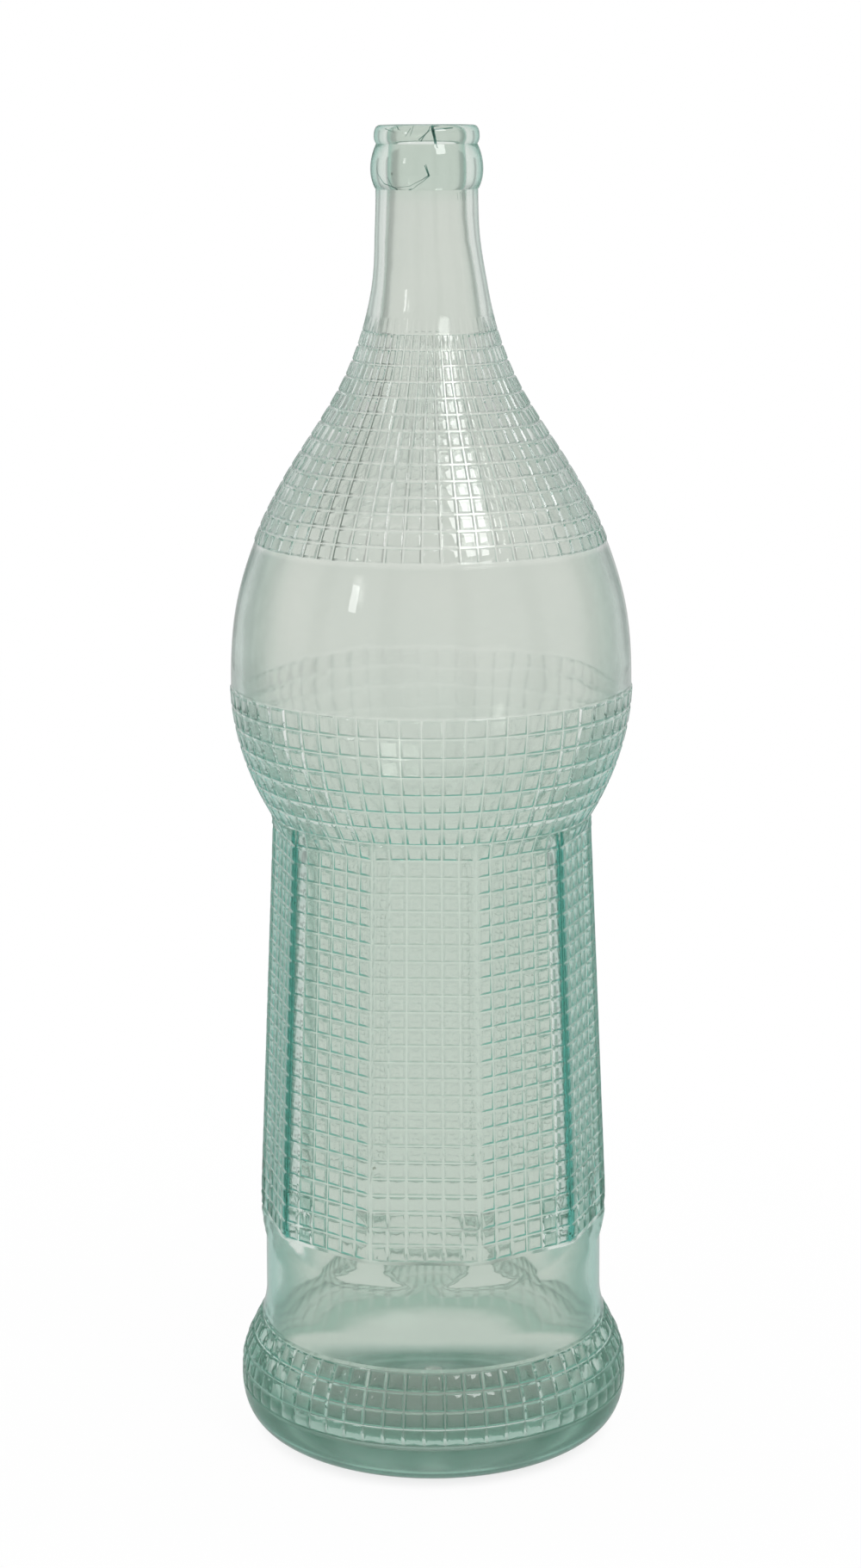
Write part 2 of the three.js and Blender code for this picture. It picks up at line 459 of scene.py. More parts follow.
    def finish(self) -> list[Vector]:
        """Runs over the reinforcing ring, the groove and the bead to the inner edge of the lip.

        Returns:
            The points, in their order along the outline.
        """
        s = self.sizes
        stretches = [
            Stretch.bent(
                (s.neck_radius + s.ring_step, s.finish_base + s.ring_step),
                (s.ring_radius, (s.finish_base + s.ring_line) / 2),
                (s.ring_radius, s.ring_line),
            ),
            Stretch.bent(
                (s.ring_radius, s.ring_line),
                (s.ring_radius, (s.ring_line + s.groove_line) / 2),
                (s.groove_radius, s.groove_line),
            ),
            Stretch.bent(
                (s.groove_radius, s.groove_line),
                (s.bead_radius, (s.groove_line + s.bead_line) / 2),
                (s.bead_radius, s.bead_line),
            ),
            Stretch.bent(
                (s.bead_radius, s.bead_line), (s.bead_radius, s.lip_top), (s.lip_face_radius, s.lip_top)
            ),
        ]
        points = [at for stretch in stretches for at in stretch.points(self.short_steps)[:-1]]
        lip_face = (s.lip_face_radius, s.bore_radius + s.mouth_round)
        return points + [Vector((radius, s.lip_top)) for radius in lip_face]

    def outside(self) -> list[Vector]:
        """Joins the outer outline, from the axis underneath to the inner edge of the lip."""
        return self.foot() + self.body() + self.upper() + self.finish()

    def inside(self) -> list[Vector]:
        """Runs down the cavity, from the inner edge of the lip to the axis on the floor.

        Returns:
            The points, in their order along the outline.
        """
        s = self.sizes
        column, bulb, neck = (self.waffles[zone] for zone in (Zone.COLUMN, Zone.BULB, Zone.NECK))
        mouth = Stretch.bent(
            (s.bore_radius + s.mouth_round, s.lip_top),
            (s.bore_radius, s.lip_top),
            (s.bore_radius, s.lip_top - s.mouth_round),
        ).points(self.short_steps)
        bore = spread(s.lip_top - s.mouth_round, s.finish_base, self.short_steps)[1:-1]
        upper = spread(s.finish_base, neck.high, self.short_steps)[:-1]
        upper += spread(neck.high, neck.low, self.cavity_rows * neck.rows)[:-1]
        upper += spread(neck.low, s.shoulder_base, self.long_steps)[:-1]
        points = mouth + [Vector((s.bore_radius, height)) for height in bore]
        points += [Vector((self.upper_side.at(height) - s.wall_at(height), height)) for height in upper]
        for height in reversed(self.bulb_lines(self.cavity_rows * bulb.rows)):
            points.append(Vector((s.bulb_at(height) - s.wall_at(height), height)))
        for height in spread(column.high, column.low, self.cavity_rows * column.rows)[1:]:
            points.append(Vector((s.corner_at(height) * s.flat_ratio - s.body_wall, height)))
        for height in spread(s.waist_top, s.bowl_start, self.steps):
            wall = mix(s.body_wall, s.foot_wall, 1 - smooth_share(height, s.bowl_start, s.waist_base))
            points.append(Vector((self.foot_side.at(height) - wall, height)))
        rim, inner = points[-1], Vector((s.bowl_inner_radius, s.floor_edge))
        bowl = Stretch.bent(tuple(rim), (rim.x, s.floor_edge), tuple(inner))
        floor = Stretch.bent(tuple(inner), (inner.x / 2, s.floor_edge), (0, s.floor_top))
        return points + bowl.points(self.long_steps)[1:] + floor.points(self.steps)[1:]


@dataclass(frozen=True)
class Wiring:
    """Adds nodes to one tree and links them."""

    tree: bpy.types.NodeTree

    def feed(self, socket: Socket, source: Source) -> None:
        """Links a source to a socket, or sets the socket to it where it is a constant.

        Args:
            socket: The input.
            source: Another node's output, a number or a tuple of numbers.
        """
        if isinstance(source, Socket):
            self.tree.links.new(source, socket)
        else:
            socket.default_value = source

    def node(self, kind: str, *sources: Source, **settings: Setting) -> bpy.types.Node:
        """Adds a node.

        Args:
            kind: The node's type, without its ShaderNode prefix.
            sources: What its inputs take, in their order.
            settings: Its properties.

        Returns:
            The node.
        """
        made = self.tree.nodes.new("ShaderNode" + kind)
        for name, setting in settings.items():
            setattr(made, name, setting)
        for socket, source in zip(made.inputs, sources):
            self.feed(socket, source)
        return made

    def fill(self, made: bpy.types.Node, **sources: Source) -> bpy.types.Node:
        """Feeds a node's inputs by name.

        Args:
            made: The node.
            sources: What its inputs take.

        Returns:
            The same node.
        """
        for name, source in sources.items():
            self.feed(made.inputs[name], source)
        return made

    def math(self, operation: str, *sources: Source, clamp: bool = False) -> Socket:
        """Adds a sum over numbers, which may be kept from 0 to 1."""
        return self.node("Math", *sources, operation=operation, use_clamp=clamp).outputs["Value"]

    def vector(self, operation: str, *sources: Source) -> bpy.types.Node:
        """Adds a sum over vectors, whose result is a vector or a value."""
        return self.node("VectorMath", *sources, operation=operation)

    def ease(self, source: Source, ends: Pair, shares: tuple[Source, Source] = (0.0, 1.0)) -> Socket:
        """Eases from the first share to the second while a value goes from one end to the other.

        Args:
            source: The value.
            ends: Where the ease begins and lands.
            shares: What it puts out there.

        Returns:
            The eased share.
        """
        made = self.node("MapRange", source, *ends, *shares, interpolation_type="SMOOTHSTEP")
        return made.outputs["Result"]

    def blend(self, share: Source, first: Source, second: Source, kind: str = "RGBA") -> Socket:
        """Goes from one colour or number to another.

        Args:
            share: How far it goes.
            first: What it is at 0.
            second: What it is at 1.
            kind: The type of both.

        Returns:
            The result.
        """
        made = self.node("Mix", data_type=kind)
        for name, source in zip(("Factor", "A", "B"), (share, first, second)):
            self.feed(made.inputs[name], (*source, 1) if isinstance(source, tuple) else source)
        return made.outputs["Result"]

    def mark(self, name: str) -> Socket:
        """Reads a mark that the skin carries."""
        return self.node("Attribute", attribute_name=name).outputs["Fac"]

    def group(self, shared: bpy.types.NodeTree, **sources: Source) -> Socket:
        """Adds a shared group, feeds its inputs by name and gives its one output."""
        return self.fill(self.node("Group", node_tree=shared), **sources).outputs[0]


def shared_group(name: str, inputs: dict[str, str], output: str) -> bpy.types.NodeTree:
    """Makes an empty node group with its sockets.

    Args:
        name: The group's name.
        inputs: Socket type of each input, by name.
        output: Name of the one output, a value.

    Returns:
        The group.
    """
    made = bpy.data.node_groups.new(name, "ShaderNodeTree")
    for label, kind in inputs.items():
        made.interface.new_socket(label, in_out="INPUT", socket_type="NodeSocket" + kind)
    made.interface.new_socket(output, in_out="OUTPUT", socket_type="NodeSocketFloat")
    made.nodes.new("NodeGroupInput")
    made.nodes.new("NodeGroupOutput")
    return made


def mottle_group() -> bpy.types.NodeTree:
    """Builds the soft mottle that the glass and the floor share.

    Returns:
        The group, which takes a place and a scale.
    """
    made = shared_group("mottle", {"Place": "Vector", "Scale": "Float"}, "Share")
    wiring = Wiring(made)
    given = made.nodes["Group Input"].outputs
    cloud = wiring.fill(wiring.node("TexNoise"), Vector=given["Place"], Scale=given["Scale"])
    wiring.fill(made.nodes["Group Output"], Share=wiring.ease(cloud.outputs["Fac"], MOTTLE_ENDS))
    return made


def hairline_group() -> bpy.types.NodeTree:
    """Builds the mask of one hairline crack, a straight line that tapers.

    Returns:
        The group, which takes a place, the line's two ends and its half width at each.
    """
    made = shared_group(
        "hairline",
        {"Place": "Vector", "Start": "Vector", "End": "Vector", "Width": "Float", "Tip": "Float"},
        "Mask",
    )
    wiring = Wiring(made)
    given = made.nodes["Group Input"].outputs
    along = wiring.vector("SUBTRACT", given["End"], given["Start"]).outputs["Vector"]
    offset = wiring.vector("SUBTRACT", given["Place"], given["Start"]).outputs["Vector"]
    passed = wiring.vector("DOT_PRODUCT", offset, along).outputs["Value"]
    whole = wiring.vector("DOT_PRODUCT", along, along).outputs["Value"]
    share = wiring.math("DIVIDE", passed, whole, clamp=True)
    nearest = wiring.fill(wiring.vector("SCALE", along), Scale=share).outputs["Vector"]
    away = wiring.vector("DISTANCE", offset, nearest).outputs["Value"]
    taper = wiring.math("SUBTRACT", given["Tip"], given["Width"])
    width = wiring.math("MULTIPLY_ADD", share, taper, given["Width"])
    mask = wiring.ease(wiring.math("DIVIDE", away, width), HAIRLINE_ENDS, (1.0, 0.0))
    wiring.fill(made.nodes["Group Output"], Mask=mask)
    return made


@dataclass(frozen=True)
class Hairline:
    """One straight stretch of a crack in the finish: millimetres round from the front, and height."""

    start: Pair
    end: Pair
    width: float
    tip: float


@dataclass(frozen=True)
class GlassSurface:
    """What the effects of the glass read from its surface.

    Attributes:
        wiring: The material's nodes.
        place: Where the surface is.
        height: Its height in millimetres.
        thick: How far it lies in the thick glass, low down or at the finish.
        grooves: How far it lies in a groove.
    """

    wiring: Wiring
    place: Socket
    height: Socket
    thick: Socket
    grooves: Socket


@dataclass(frozen=True)
class GlassFinish:
    """Pale aqua bottle glass: a clear body that turns green through its thickness, with painted light and
    shade in its colour.
    """

    name: str = "pale_aqua_glass"
    tint: Colour = (0.82, 0.835, 0.80)
    mottled_tint: Colour = (0.785, 0.81, 0.775)
    thick_tint: Colour = (0.745, 0.79, 0.745)
    # Dark green painted on the foot: painted shade, with some of the thick glass's own green.
    foot_painted_shade: Colour = (0.24, 0.42, 0.34)
    # Grooves painted paler than the pads: painted light, where their slopes show brighter surroundings.
    groove_painted_light: Colour = (1.0, 1.0, 0.98)
    thick_groove_painted_light: Colour = (0.85, 0.9, 0.855)
    # Painted shade on the pads' edges, greyer seen face-on and teal seen aslant.
    front_edge_painted_shade: Colour = (0.24, 0.34, 0.28)
    side_edge_painted_shade: Colour = (0.05, 0.36, 0.28)
    # Painted shade, dark teal, on the column's side corners.
    corner_painted_shade: Colour = (0.012, 0.2, 0.15)
    # Painted dark streaks on the neck's pads, where a dark stretch of the surroundings shows through.
    stroke_painted_shade: Colour = (0.03, 0.05, 0.035)
    flaw_tint: Colour = (0.01, 0.07, 0.05)
    seed_tint: Colour = (0.22, 0.25, 0.2)
    thin_heights: Pair = (168, 202)
    finish_heights: Pair = (316, 324)
    groove_foot_share: float = 0.1
    thin_teal_share: float = 0.5
    teal_facing: Pair = (0.15, 0.5)
    edge_facing: Pair = (0.1, 0.38)
    edge_shares: Pair = (0.14, 1.0)
    rim_facing: Pair = (0.3, 0.78)
    rim_share: float = 0.8
    thin_rim_share: float = 0.55
    groove_rim_share: float = 0.12
    corner_facing: Pair = (0.2, 0.36)
    ior: float = 1.52
    absorbed_colour: Colour = (0.24, 0.65, 0.54)
    absorption: float = 9
    mottle_scale: float = 18
    ripple_scale: float = 90
    ripple_height: float = 0.00006
    seed_scale: float = 71
    seed_size: float = 0.03
    roughness: float = 0.02
    inside_roughness: float = 0.1
    worn_roughness: float = 0.18
    worn_heights: Pair = (9.5, 13.5)
    crack_radius: float = 14.2
    cracks: tuple[Hairline, ...] = (
        Hairline((-15.3, 328.2), (-14.6, 325.2), 0.06, 0.13),
        Hairline((-14.6, 325.2), (-12.3, 322.5), 0.13, 0.16),
        Hairline((-12.3, 322.5), (-8.8, 321.6), 0.16, 0.06),
        Hairline((-8.8, 321.6), (-4.6, 322.0), 0.06, 0.06),
        Hairline((-4.6, 322.0), (-1.2, 323.6), 0.06, 0.09),
        Hairline((-1.2, 323.6), (0.5, 324.7), 0.09, 0.16),
        Hairline((0.5, 324.7), (-0.5, 327.1), 0.28, 0.12),
        Hairline((1.6, 335.9), (2.9, 331.4), 0.62, 0.08),
        Hairline((1.4, 335.9), (7.5, 336.3), 0.3, 0.16),
        Hairline((0.9, 335.8), (-2.1, 333.4), 0.1, 0.16),
        Hairline((-4.4, 336.2), (-5.7, 334.2), 0.1, 0.06),
        Hairline((-12.8, 336.1), (-9.2, 335.3), 0.12, 0.06),
        Hairline((10.6, 320.2), (10.9, 318.4), 0.07, 0.07),
        Hairline((11.9, 320.3), (12.0, 318.5), 0.07, 0.07),
    )

    def material(self, mottle: bpy.types.NodeTree) -> bpy.types.Material:
        """Builds the glass with its surface variation, its painted light and shade and its absorbing body.

        Args:
            mottle: The shared soft mottle.

        Returns:
            The material.
        """
        made = bpy.data.materials.new(self.name)
        made.use_nodes = True
        wiring = Wiring(made.node_tree)
        nodes = made.node_tree.nodes
        shader = nodes["Principled BSDF"]
        shader.inputs["Metallic"].default_value = 0.0
        shader.inputs["Transmission Weight"].default_value = 1.0
        shader.inputs["IOR"].default_value = self.ior
        place = wiring.node("TexCoord").outputs["Object"]
        height = wiring.math("DIVIDE", wiring.node("SeparateXYZ", place).outputs["Z"], MM)
        low_down = wiring.ease(height, self.thin_heights, (1.0, 0.0))
        thick = wiring.math("MAXIMUM", low_down, wiring.ease(height, self.finish_heights))
        surface = GlassSurface(wiring, place, height, thick, wiring.mark("groove"))
        colour = self.shade_edges(surface, self.mottled(surface, mottle))
        # Paints the foot dark green, painted shade with some of the thick glass's own green, mostly kept
        # off its grooves.
        most = wiring.ease(surface.grooves, (0.0, 1.0), (1.0, self.groove_foot_share))
        colour = wiring.blend(wiring.math("MULTIPLY", wiring.mark("foot"), most), colour, self.foot_painted_shade)
        wiring.feed(shader.inputs["Base Color"], self.flawed(surface, colour))
        plain = wiring.ease(wiring.mark("inside"), (0.0, 1.0), (self.roughness, self.inside_roughness))
        worn = wiring.ease(height, self.worn_heights, (self.worn_roughness, plain))
        wiring.feed(shader.inputs["Roughness"], worn)

        ripple = wiring.fill(wiring.node("TexNoise"), Vector=place, Scale=self.ripple_scale)
        bump = wiring.fill(wiring.node("Bump"), Distance=self.ripple_height, Height=ripple.outputs["Fac"])
        wiring.feed(shader.inputs["Normal"], bump.outputs["Normal"])
        body = wiring.node("VolumeAbsorption", (*self.absorbed_colour, 1), self.absorption)
        wiring.feed(nodes["Material Output"].inputs["Volume"], body.outputs["Volume"])
        return made

    def mottled(self, surface: GlassSurface, mottle: bpy.types.NodeTree) -> Socket:
        """Varies the glass's own tint a little, and paints the grooves paler than the rest as painted
        light.

        Args:
            surface: What the effect reads.
            mottle: The shared soft mottle.

        Returns:
            The colour.
        """
        wiring = surface.wiring
        share = wiring.group(mottle, Place=surface.place, Scale=self.mottle_scale)
        thin = wiring.blend(share, self.tint, self.mottled_tint)
        pale = wiring.blend(surface.thick, self.groove_painted_light, self.thick_groove_painted_light)
        return wiring.blend(surface.grooves, wiring.blend(surface.thick, thin, self.thick_tint), pale)

    def shade_edges(self, surface: GlassSurface, colour: Socket) -> Socket:
        """Paints shade on the pads' edges, on the glass seen edge-on and on the column's side corners.

        Args:
            surface: What the effect reads.
            colour: The colour so far.

        Returns:
            The colour.
        """
        wiring = surface.wiring
        facing = wiring.node("LayerWeight").outputs["Facing"]
        teal_most = wiring.ease(surface.thick, (0.0, 1.0), (self.thin_teal_share, 1.0))
        teal = wiring.math("MULTIPLY", teal_most, wiring.ease(facing, self.teal_facing))
        edge_shade_colour = wiring.blend(teal, self.front_edge_painted_shade, self.side_edge_painted_shade)
        level = wiring.ease(facing, self.edge_facing, self.edge_shares)
        rim_most = wiring.ease(surface.thick, (0.0, 1.0), (self.thin_rim_share, self.rim_share))
        rim_most = wiring.ease(surface.grooves, (0.0, 1.0), (rim_most, self.groove_rim_share))
        rim = wiring.ease(facing, self.rim_facing, (0.0, rim_most))
        # Painted shade on the pads' edges, and a painted dark rim where the glass is seen edge-on.
        share = wiring.math("MULTIPLY_ADD", wiring.mark("edge"), level, rim, clamp=True)
        colour = wiring.blend(share, colour, edge_shade_colour)
        # Painted dark streaks where a dark stretch of the surroundings shows through the neck's pads.
        colour = wiring.blend(wiring.mark("stroke"), colour, self.stroke_painted_shade)

        # Painted shade on the column's side corners and the pads near them, where the surface turns away.
        level_place = wiring.vector("MULTIPLY", surface.place, (1.0, 1.0, 0.0)).outputs["Vector"]
        outward = wiring.vector("NORMALIZE", level_place).outputs["Vector"]
        round_facing = wiring.fill(wiring.node("LayerWeight"), Normal=outward).outputs["Facing"]
        aside = wiring.ease(round_facing, self.corner_facing)
        return wiring.blend(wiring.math("MULTIPLY", wiring.mark("corner"), aside), colour, self.corner_painted_shade)

    def flawed(self, surface: GlassSurface, colour: Socket) -> Socket:
        """Adds the cracks of the finish and seeds in the glass.

        Args:
            surface: What the effect reads.
            colour: The colour so far.

        Returns:
            The colour.
        """
        wiring = surface.wiring
        seeds = wiring.fill(wiring.node("TexVoronoi"), Vector=surface.place, Scale=self.seed_scale)
        spot = wiring.ease(seeds.outputs["Distance"], (self.seed_size / 2, self.seed_size), (1.0, 0.0))
        colour = wiring.blend(spot, colour, self.seed_tint)

        split = wiring.node("SeparateXYZ", surface.place).outputs
        turn = wiring.math("ARCTAN2", split["X"], wiring.math("MULTIPLY", split["Y"], -1.0))
        across = wiring.math("MULTIPLY", turn, self.crack_radius)
        unrolled = wiring.node("CombineXYZ", across, surface.height).outputs["Vector"]
        hairline = hairline_group()
        most = 0.0
        for crack in self.cracks:
            mask = wiring.group(
                hairline,
                Place=unrolled,
                Start=(*crack.start, 0.0),
                End=(*crack.end, 0.0),
                Width=crack.width,
                Tip=crack.tip,
            )
            most = wiring.math("MAXIMUM", most, mask)
        return wiring.blend(most, colour, self.flaw_tint)


@dataclass
class Bottle:
    """The bottle itself: one closed skin of glass, whose points carry the marks that the glass reads."""

    sizes: BottleSizes = field(default_factory=BottleSizes)
    finish: GlassFinish = field(default_factory=GlassFinish)
    # edge, corner, stroke and foot carry painted shade; groove marks the grooves, which are painted paler
    # as painted light.
    marks: tuple[str, ...] = ("edge", "corner", "groove", "foot", "stroke", "inside")
    cells_per_flat: int = 6
    columns_per_cell: int = 2
    groove_most: float = 0.44
    # The pads' upper edges take less painted shade than their lower edges.
    upper_mark: float = 0.35
    groove_mark: float = 0.9
    sharp_angle: float = 24
    corner_reach: float = 1.1
    corner_slack: float = 0.03
    corner_widening: float = 0.5
    # Pads within this reach of a corner take a lighter painted shade.
    shade_reach: float = 4
    shade_mark: float = 0.45
    stroke_turns: tuple[float, float, float, float] = (-48, -40, -30, -21)
    stroke_width: float = 0.35
    foot_start: Pair = (8, 13)
    foot_line: Pair = (16.5, 19)
    foot_fade: float = 1
    # Share of the foot's painted shade on its upper pads.
    pad_painted_shade: float = 0.5
    unevenness: Pair = (3.1, 0.035)
    finish_lean: float = -0.65
    lean_heights: Pair = (296, 312)
    waves: tuple[Pair, ...] = ((22, 0.2), (7, 0.05))
    settle_rounds: int = 8
    settle_factor: float = 0.5
    cavity_rounding: float = 4
    cavity_fade: float = 9
    waffles: tuple[Waffle, ...] = (
        Waffle(
            Zone.FOOT, low=12.4, high=29.4, rows=4,
            groove_floor=0.4, groove_side=0.4, groove_depth=0.5, crown=0.1,
            bevel=0.6, bevel_rise=0.22, imprint=0, fade_low=4.2,
        ),
        Waffle(
            Zone.COLUMN, low=57.15, high=162, rows=25,
            groove_floor=0.42, groove_side=0.52, groove_depth=0.32, crown=0.05,
        ),
        Waffle(
            Zone.BULB, low=162, high=195.4, rows=7,
            groove_floor=0.4, groove_side=0.55, groove_depth=0.36, crown=0.05,
        ),
        Waffle(
            Zone.NECK, low=232.2, high=289.5, rows=15,
            groove_floor=0.48, groove_side=0.38, groove_depth=0.26, crown=0.05,
            mark=0.7, row_mark=0, stroke=1.0, fade_high=8,
        ),
    )

    @property
    def cells(self) -> int:
        """How many pads go round the skin."""
        return self.sizes.flats * self.cells_per_flat

    @property
    def columns(self) -> int:
        """How many faces go round the skin."""
        return self.cells * self.columns_per_cell

    def waffle_of(self, zone: Zone) -> Waffle:
        """Gives the band of a zone."""
        return next(waffle for waffle in self.waffles if waffle.zone is zone)

    def waffle_at(self, height: float) -> Waffle | None:
        """Gives the band that holds a height, if one does."""
        return next((waffle for waffle in self.waffles if waffle.holds(height)), None)

    def between_cells(self, place: Vector) -> int:
        """Tells how many columns a place is past the side of its cell, 0 on the side itself."""
        return round(self.angle_of(place) / FULL_TURN * self.columns) % self.columns_per_cell

    @staticmethod
    def angle_of(place: Vector) -> float:
        """Gives the angle of a place round the axis, from the front."""
        return math.atan2(place.x, -place.y)

    @staticmethod
    def swing(vert: bmesh.types.BMVert, angle: float, reach: float) -> None:
        """Moves a point level, to an angle from the front and a distance from the axis in millimetres."""
        vert.co.x = math.sin(angle) * reach * MM
        vert.co.y = -math.cos(angle) * reach * MM

    def build(self, mottle: bpy.types.NodeTree) -> bpy.types.Object:
        """Builds the bottle's object.

        Args:
            mottle: The soft mottle that its glass shares.

        Returns:
            The finished object, with its glass on it.
        """
        outline = Outline(self.sizes, {waffle.zone: waffle for waffle in self.waffles})
        skin = bmesh.new()
        self.turn(skin, outline.outside())
        self.press_flats(skin, outline)
        self.press_waffles(skin)
        outer = set(skin.verts)
        self.turn(skin, outline.inside())
        self.settle_cavity(skin, [vert for vert in skin.verts if vert not in outer])
        bmesh.ops.remove_doubles(skin, verts=skin.verts, dist=MERGE_GAP * MM)
        self.lean_finish(skin)
        bmesh.ops.recalc_face_normals(skin, faces=skin.faces)
        for face in skin.faces:
            face.smooth = True
        for edge in skin.edges:
            edge.smooth = edge.calc_face_angle(0) < math.radians(self.sharp_angle)

        mesh = bpy.data.meshes.new("glass_bottle_skin")
        skin.to_mesh(mesh)
        skin.free()
        piece = bpy.data.objects.new("bottle", mesh)
        bpy.context.scene.collection.objects.link(piece)
        mesh.materials.append(self.finish.material(mottle))
        return piece

    def turn(self, skin: Skin, outline: list[Vector]) -> None:
        """Turns an outline into a round skin.

        Args:
            skin: The mesh that gains the skin.
            outline: Radius and height of each point.
        """
        verts = [skin.verts.new((0, -at.x * MM, at.y * MM)) for at in outline]
        edges = [skin.edges.new(pair) for pair in zip(verts, verts[1:])]
        bmesh.ops.spin(
            skin,
            geom=verts + edges,
            cent=(0, 0, 0),
            axis=(0, 0, 1),
            angle=FULL_TURN,
            steps=self.columns,
            use_merge=True,
        )

    def flatten(self, vert: bmesh.types.BMVert, apothem: float, least: float, most: float) -> None:
        """Moves a point of a round skin onto its flat, with the columns evenly spaced along it.

        Args:
            vert: The point.
            apothem: Distance from the axis to the middle of the flat.
            least: Smallest radius the point may have.
            most: Largest radius the point may have.
        """
        half = self.sizes.flat_angle / 2
        angle = self.angle_of(vert.co)
        flat = round(angle / (2 * half)) * 2 * half
        across = (angle - flat) / half * math.tan(half)
        reach = min(max(apothem * math.hypot(1, across), least), most)
        self.swing(vert, flat + math.atan(across), reach)

    def press_flats(self, skin: Skin, outline: Outline) -> None:
        """Presses the round column into its flats, with its corners run out to the waist and the bulb.

        Args:
            skin: The outer skin.
            outline: Where the turned radii come from.
        """
        s = self.sizes
        bmesh.ops.remove_doubles(skin, verts=skin.verts, dist=MERGE_GAP * MM)
        bmesh.ops.recalc_face_normals(skin, faces=skin.faces)
        for vert in skin.verts:
            height = vert.co.z / MM
            if s.waist_top <= height <= s.column_top + MERGE_GAP:
                least = s.bulb_at(height) if height > s.corners_full else 0
                most = outline.run_out.at(height) if height < s.corners_full else s.bulb_radius
                self.flatten(vert, s.corner_at(height) * s.flat_ratio, least, most)

    def join_columns(self, skin: Skin) -> None:
        """Joins the faces of each cell in the patterned bands into one.

        Args:
            skin: The outer skin.
        """
        spare = []
        for edge in skin.edges:
            low, high = sorted(vert.co.z / MM for vert in edge.verts)
            upright = high - low > MERGE_GAP
            if upright and self.between_cells(edge.verts[0].co) and self.waffle_at((low + high) / 2):
                spare.append(edge)
        bmesh.ops.dissolve_edges(skin, edges=spare, use_verts=False)
        skin.normal_update()

    def press_waffles(self, skin: Skin) -> None:
        """Lets the four bands of pads into the skin and marks them, also for their painted light and shade.

        Args:
            skin: The outer skin.
        """
        for name in self.marks:
            skin.verts.layers.float.new(name)
        groove_layer = skin.verts.layers.float["groove"]
        self.join_columns(skin)
        sunk = {}
        for waffle in self.waffles:
            rows = {}
            for face in skin.faces:
                height = face.calc_center_median().z / MM
                if waffle.holds(height):
                    rows.setdefault(round(height, ROW_DIGITS), []).append(face)
            for cells in rows.values():
                for vert in {vert for cell in cells for vert in cell.verts}:
                    share = waffle.share_at(vert.co.z / MM)
                    sunk[vert] = (-vert.normal * waffle.groove_depth * share * MM, share)
            for height, cells in rows.items():
                self.press_row(skin, waffle, height, cells)
        self.widen_corners(skin)
        skin.normal_update()
        size, height = self.unevenness
        for vert in skin.verts:
            if self.waffle_at(vert.co.z / MM):
                vert.co += vert.normal * noise.noise(vert.co / (size * MM)) * height * MM
        for vert, (sink, share) in sunk.items():
            vert.co += sink
            vert[groove_layer] = share
        self.paint_foot_shade(skin)

    def press_row(self, skin: Skin, waffle: Waffle, height: float, cells: list[bmesh.types.BMFace]) -> None:
        """Sinks the grooves round one row of pads and crowns the pads.

        Args:
            skin: The outer skin.
            waffle: The band.
            height: Middle height of the row.
            cells: The row's cells.
        """
        edge_shade_layer, groove_layer, stroke_layer = (
            skin.verts.layers.float[name] for name in ("edge", "groove", "stroke")
        )
        share = waffle.share_at(height)
        depth = waffle.groove_depth * share * MM
        width = min(edge.calc_length() for edge in cells[0].edges) * self.columns_per_cell
        groove_width = (waffle.groove_floor + 2 * waffle.groove_side) * MM
        scale = min(1.0, self.groove_most * width / groove_width) * MM
        steps = (
            (waffle.groove_floor / 2 * scale, -depth, self.groove_mark * share, share),
            (waffle.groove_side * scale, depth, share, 0.0),
            (waffle.bevel * scale, waffle.bevel_rise * share * MM, 0.0, 0.0),
        )
        for inset, rise, mark, groove in steps:
            bmesh.ops.inset_individual(
                skin, faces=cells, thickness=inset, depth=rise, use_even_offset=True
            )
            # The edge mark is painted shade, lighter on the upper edges; the stroke mark is a painted dark
            # streak.
            for vert in {vert for cell in cells for vert in cell.verts}:
                level = waffle.mark * mark
                if vert.co.z / MM > height:
                    level *= self.upper_mark
                if self.between_cells(vert.co):
                    level *= waffle.row_mark
                vert[edge_shade_layer] = level
                vert[groove_layer] = groove
                vert[stroke_layer] = waffle.stroke * mark * self.stroke_at(vert.co)
        crowns = bmesh.ops.poke(skin, faces=cells, offset=waffle.crown * share * MM)
        for vert in crowns["verts"]:
            for layer in (edge_shade_layer, groove_layer, stroke_layer):
                vert[layer] = 0.0

    def stroke_at(self, place: Vector) -> float:
        """Gives how much painted dark streak a pad's outer edge takes at a place, where a dark stretch of
        the surroundings shows through it.

        Args:
            place: A point on a pad's edge.

        Returns:
            The share, 0 away from the stretch and on the pads' other edges.
        """
        angle = self.angle_of(place)
        cell = FULL_TURN / self.cells
        if angle % cell > cell * self.stroke_width:
            return 0.0
        turn = math.degrees(angle)
        start, full, fall, end = self.stroke_turns
        return smooth_share(turn, start, full) * (1 - smooth_share(turn, fall, end))

    def widen_corners(self, skin: Skin) -> None:
        """Widens the grooves along the column's corners and marks them for painted shade, lighter on the
        pads near them.

        Args:
            skin: The outer skin.
        """
        corner_layer = skin.verts.layers.float["corner"]
        column = self.waffle_of(Zone.COLUMN)
        flat_angle = self.sizes.flat_angle
        for vert in skin.verts:
            if not column.holds(vert.co.z / MM):
                continue
            angle = self.angle_of(vert.co)
            flat = round(angle / flat_angle) * flat_angle
            reach = math.hypot(vert.co.x, vert.co.y) / MM
            across, out = reach * math.sin(angle - flat), reach * math.cos(angle - flat)
            gap = out * math.tan(flat_angle / 2) - abs(across)
            if gap > self.corner_reach:
                vert[corner_layer] = self.shade_mark if gap < self.shade_reach else 0.0
                continue
            vert[corner_layer] = 1.0
            if gap > self.corner_slack:
                across -= math.copysign(self.corner_widening, across)
                self.swing(vert, flat + math.atan2(across, out), math.hypot(across, out))

